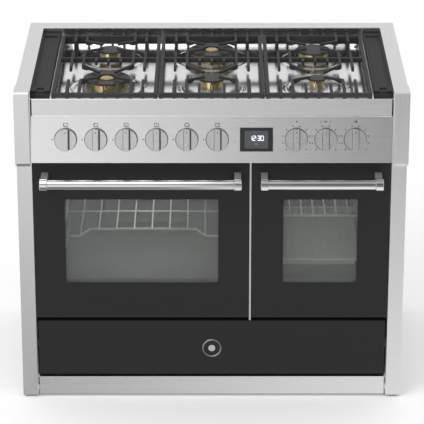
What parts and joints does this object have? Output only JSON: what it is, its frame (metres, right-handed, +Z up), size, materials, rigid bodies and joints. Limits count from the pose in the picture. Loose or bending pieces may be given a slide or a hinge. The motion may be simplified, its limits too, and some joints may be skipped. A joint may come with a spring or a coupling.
{
  "type": "range cooker",
  "caption": "Steel range cooker: gas burners under cast-iron pan supports, leaning knob panel with display, wide and narrow glazed ovens with bar handles, storage drawer.",
  "frame": {"origin": "on the floor, at the middle of the width and of the depth with handles", "axes": "+X to the cooker's right as seen from the front, +Y to the back, +Z up"},
  "size_m": [1, 0.676, 0.85],
  "materials": {
    "brushed_steel": "brushed",
    "bright_steel": "polished",
    "painted_side": "satin",
    "galvanised": "matt",
    "black_enamel": "gloss",
    "grey_enamel": "gloss",
    "anthracite": "satin",
    "cast_iron": "matt",
    "brass": "turned",
    "aluminium": "satin",
    "chrome": "bright",
    "element_steel": "matt",
    "mineral_wool": "matt",
    "rubber": "matt",
    "oven_glass": "gloss",
    "display_black": "gloss",
    "black_plastic": "matt"
  },
  "bodies": {
    "cooker": {"side_frame_left": "brushed_steel", "side_frame_right": "brushed_steel", "side_panels": "painted_side", "cheeks": "brushed_steel", "rear_rail": "brushed_steel", "back_panel": "galvanised", "base_tray": "galvanised", "front_frame": "black_enamel", "divider_strip": "bright_steel", "plinth": "brushed_steel", "feet": "black_plastic", "fascia_strip": "brushed_steel", "control_panel": "brushed_steel", "oven_controls": "display_black", "gas_taps": "brass", "hob_pan": "bright_steel", "hob_side_covers": "black_enamel", "burner_cups": "aluminium", "burner_crowns": "brass", "burner_caps": "black_enamel", "gas_manifold": "aluminium", "main_cavity": "grey_enamel", "small_cavity": "grey_enamel", "insulation_wrap": "mineral_wool", "door_gaskets": "rubber", "oven_racks": "chrome", "rack_ladders": "chrome", "heating_elements": "element_steel", "fan_housing": "element_steel", "drawer_runners": "galvanised", "terminal_box": "black_plastic"},
    "main_oven_door": {"main_door_panel": "anthracite", "main_door_glass": "oven_glass", "main_door_liner": "grey_enamel", "main_door_handle": "bright_steel"},
    "small_oven_door": {"small_door_panel": "anthracite", "small_door_glass": "oven_glass", "small_door_liner": "grey_enamel", "small_door_handle": "bright_steel"},
    "storage_drawer": {"drawer_front": "anthracite", "drawer_box": "galvanised"},
    "support_left": {"pan_support_left": "cast_iron"},
    "support_centre": {"pan_support_centre": "cast_iron"},
    "support_right": {"pan_support_right": "cast_iron"},
    "fan_rotor": {"oven_fan": "element_steel"},
    "push_spindle_1": {"tap_spindle_1": "brass"},
    "gas_dial_1": {"gas_knob_1": "bright_steel"},
    "push_spindle_2": {"tap_spindle_2": "brass"},
    "gas_dial_2": {"gas_knob_2": "bright_steel"},
    "push_spindle_3": {"tap_spindle_3": "brass"},
    "gas_dial_3": {"gas_knob_3": "bright_steel"},
    "push_spindle_4": {"tap_spindle_4": "brass"},
    "gas_dial_4": {"gas_knob_4": "bright_steel"},
    "push_spindle_5": {"tap_spindle_5": "brass"},
    "gas_dial_5": {"gas_knob_5": "bright_steel"},
    "push_spindle_6": {"tap_spindle_6": "brass"},
    "gas_dial_6": {"gas_knob_6": "bright_steel"},
    "oven_dial_1": {"oven_knob_1": "bright_steel"},
    "oven_dial_2": {"oven_knob_2": "bright_steel"},
    "oven_dial_3": {"oven_knob_3": "bright_steel"}
  },
  "joints": [
    {"name": "main_door_hinge", "type": "hinge", "parent": "cooker", "child": "main_oven_door", "pos_m": [-0.18, -0.248, 0.242], "axis": [1, 0, 0], "range_deg": [0, 90], "stiffness_Nm_per_rad": 8, "springref_deg": -14.32},
    {"name": "small_door_hinge", "type": "hinge", "parent": "cooker", "child": "small_oven_door", "pos_m": [0.279, -0.248, 0.242], "axis": [1, 0, 0], "range_deg": [0, 90], "stiffness_Nm_per_rad": 5.5, "springref_deg": -14.32},
    {"name": "drawer_slide", "type": "slide", "parent": "cooker", "child": "storage_drawer", "axis": [0, -1, 0], "range_m": [0, 0.32]},
    {"name": "support_lift_left", "type": "slide", "parent": "cooker", "child": "support_left", "axis": [0, 0, 1], "range_m": [0, 0.06]},
    {"name": "support_lift_centre", "type": "slide", "parent": "cooker", "child": "support_centre", "axis": [0, 0, 1], "range_m": [0, 0.06]},
    {"name": "support_lift_right", "type": "slide", "parent": "cooker", "child": "support_right", "axis": [0, 0, 1], "range_m": [0, 0.06]},
    {"name": "tap_push_1", "type": "slide", "parent": "cooker", "child": "push_spindle_1", "axis": [0, 0.9721, -0.2346], "range_m": [0, 0.004], "stiffness_N_per_m": 2000, "springref_m": -0.001},
    {"name": "gas_turn_1", "type": "hinge", "parent": "push_spindle_1", "child": "gas_dial_1", "pos_m": [-0.371, -0.266, 0.722], "axis": [0, -0.9721, 0.2346], "range_deg": [0, 210]},
    {"name": "tap_push_2", "type": "slide", "parent": "cooker", "child": "push_spindle_2", "axis": [0, 0.9721, -0.2346], "range_m": [0, 0.004], "stiffness_N_per_m": 2000, "springref_m": -0.001},
    {"name": "gas_turn_2", "type": "hinge", "parent": "push_spindle_2", "child": "gas_dial_2", "pos_m": [-0.294, -0.266, 0.722], "axis": [0, -0.9721, 0.2346], "range_deg": [0, 210]},
    {"name": "tap_push_3", "type": "slide", "parent": "cooker", "child": "push_spindle_3", "axis": [0, 0.9721, -0.2346], "range_m": [0, 0.004], "stiffness_N_per_m": 2000, "springref_m": -0.001},
    {"name": "gas_turn_3", "type": "hinge", "parent": "push_spindle_3", "child": "gas_dial_3", "pos_m": [-0.217, -0.266, 0.722], "axis": [0, -0.9721, 0.2346], "range_deg": [0, 210]},
    {"name": "tap_push_4", "type": "slide", "parent": "cooker", "child": "push_spindle_4", "axis": [0, 0.9721, -0.2346], "range_m": [0, 0.004], "stiffness_N_per_m": 2000, "springref_m": -0.001},
    {"name": "gas_turn_4", "type": "hinge", "parent": "push_spindle_4", "child": "gas_dial_4", "pos_m": [-0.14, -0.266, 0.722], "axis": [0, -0.9721, 0.2346], "range_deg": [0, 210]},
    {"name": "tap_push_5", "type": "slide", "parent": "cooker", "child": "push_spindle_5", "axis": [0, 0.9721, -0.2346], "range_m": [0, 0.004], "stiffness_N_per_m": 2000, "springref_m": -0.001},
    {"name": "gas_turn_5", "type": "hinge", "parent": "push_spindle_5", "child": "gas_dial_5", "pos_m": [-0.063, -0.266, 0.722], "axis": [0, -0.9721, 0.2346], "range_deg": [0, 210]},
    {"name": "tap_push_6", "type": "slide", "parent": "cooker", "child": "push_spindle_6", "axis": [0, 0.9721, -0.2346], "range_m": [0, 0.004], "stiffness_N_per_m": 2000, "springref_m": -0.001},
    {"name": "gas_turn_6", "type": "hinge", "parent": "push_spindle_6", "child": "gas_dial_6", "pos_m": [0.014, -0.266, 0.722], "axis": [0, -0.9721, 0.2346], "range_deg": [0, 210]},
    {"name": "oven_turn_1", "type": "hinge", "parent": "cooker", "child": "oven_dial_1", "pos_m": [0.2145, -0.266, 0.722], "axis": [0, -0.9721, 0.2346], "range_deg": [-270, 0]},
    {"name": "oven_turn_2", "type": "hinge", "parent": "cooker", "child": "oven_dial_2", "pos_m": [0.28925, -0.266, 0.722], "axis": [0, -0.9721, 0.2346], "range_deg": [-270, 0]},
    {"name": "oven_turn_3", "type": "hinge", "parent": "cooker", "child": "oven_dial_3", "pos_m": [0.364, -0.266, 0.722], "axis": [0, -0.9721, 0.2346], "range_deg": [-270, 0]},
    {"name": "fan_spin", "type": "hinge", "parent": "cooker", "child": "fan_rotor", "pos_m": [-0.18, 0.19, 0.44], "axis": [0, 1, 0], "continuous": true}
  ]
}
